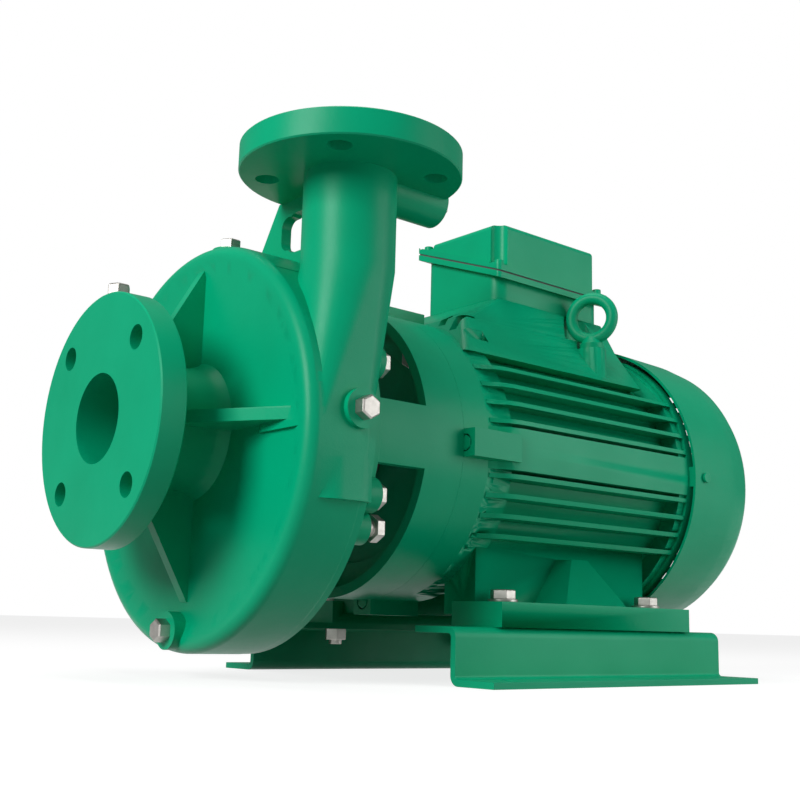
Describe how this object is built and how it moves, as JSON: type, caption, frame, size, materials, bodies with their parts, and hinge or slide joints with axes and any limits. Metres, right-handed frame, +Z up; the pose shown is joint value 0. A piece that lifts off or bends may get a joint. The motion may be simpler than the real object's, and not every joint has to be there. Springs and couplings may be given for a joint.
{
  "type": "close-coupled centrifugal pump",
  "caption": "Close-coupled volute pump: flanged end-suction casing with tangential discharge, open lantern, finned motor with terminal box, and two Z-section support rails.",
  "frame": {"origin": "centre of the suction flange face", "axes": "+X along the shaft from the pump to the motor, +Z up, the discharge branch stands on the -Y side"},
  "size_m": [0.619, 0.375, 0.4055],
  "materials": {
    "bearing_steel": "ground and polished",
    "bronze": "turned bronze",
    "cast_iron_bare": "machined cast iron",
    "copper_winding": "varnished copper wire",
    "core_laminations": "stacked sheet steel, varnished",
    "fan_plastic": "moulded plastic",
    "gasket_sheet": "flat gasket sheet",
    "green_enamel": "glossy machine enamel over cast metal",
    "impeller_iron": "cast, turned on the shrouds",
    "plug_plastic": "moulded plastic",
    "rail_enamel": "enamel over bent steel plate",
    "seal_carbon": "lapped carbon",
    "seal_steel": "stainless spring steel",
    "shaft_steel": "ground steel",
    "terminal_plastic": "moulded thermoset",
    "thrower_rubber": "moulded rubber",
    "zinc_steel": "zinc-plated steel"
  },
  "bodies": {
    "pump_set": {"cable_entry_plugs": "plug_plastic", "casing_bolts": "zinc_steel", "casing_cover": "cast_iron_bare", "casing_gasket": "gasket_sheet", "casing_wear_ring": "bronze", "discharge_plug": "zinc_steel", "drain_plug": "zinc_steel", "drive_bearing_outer_race": "bearing_steel", "drive_end_shield": "green_enamel", "end_bell_screws": "zinc_steel", "eye_bolt": "green_enamel", "fan_cover": "green_enamel", "fan_cover_screws": "zinc_steel", "far_rail": "rail_enamel", "foot_bolts": "zinc_steel", "foot_nuts": "zinc_steel", "foot_washers": "zinc_steel", "forcing_screws": "zinc_steel", "lantern": "green_enamel", "lug_screws": "zinc_steel", "motor_flange_bolts": "zinc_steel", "motor_housing": "green_enamel", "near_rail": "rail_enamel", "rear_bearing_outer_race": "bearing_steel", "rear_end_shield": "green_enamel", "seal_stationary_ring": "seal_carbon", "side_plug": "zinc_steel", "stator_core": "core_laminations", "stator_windings": "copper_winding", "suction_plug": "zinc_steel", "terminal_block": "terminal_plastic", "terminal_box_base": "green_enamel", "terminal_box_gasket": "gasket_sheet", "terminal_box_lid": "green_enamel", "terminal_box_screws": "zinc_steel", "vent_plug": "zinc_steel", "volute_casing": "green_enamel"},
    "rotor": {"impeller": "impeller_iron", "impeller_key": "shaft_steel", "impeller_nut": "zinc_steel", "shaft": "shaft_steel", "seal_retainer": "seal_steel", "seal_spring": "seal_steel", "seal_rotating_ring": "seal_carbon", "rotor_core": "core_laminations", "drive_bearing_inner_race": "bearing_steel", "rear_bearing_inner_race": "bearing_steel", "cooling_fan": "fan_plastic", "deflector_ring": "thrower_rubber", "fan_retaining_ring": "zinc_steel"}
  },
  "joints": [
    {"name": "shaft_spin", "type": "hinge", "parent": "pump_set", "child": "rotor", "pos_m": [0.3, 0, 0], "axis": [1, 0, 0], "continuous": true}
  ]
}
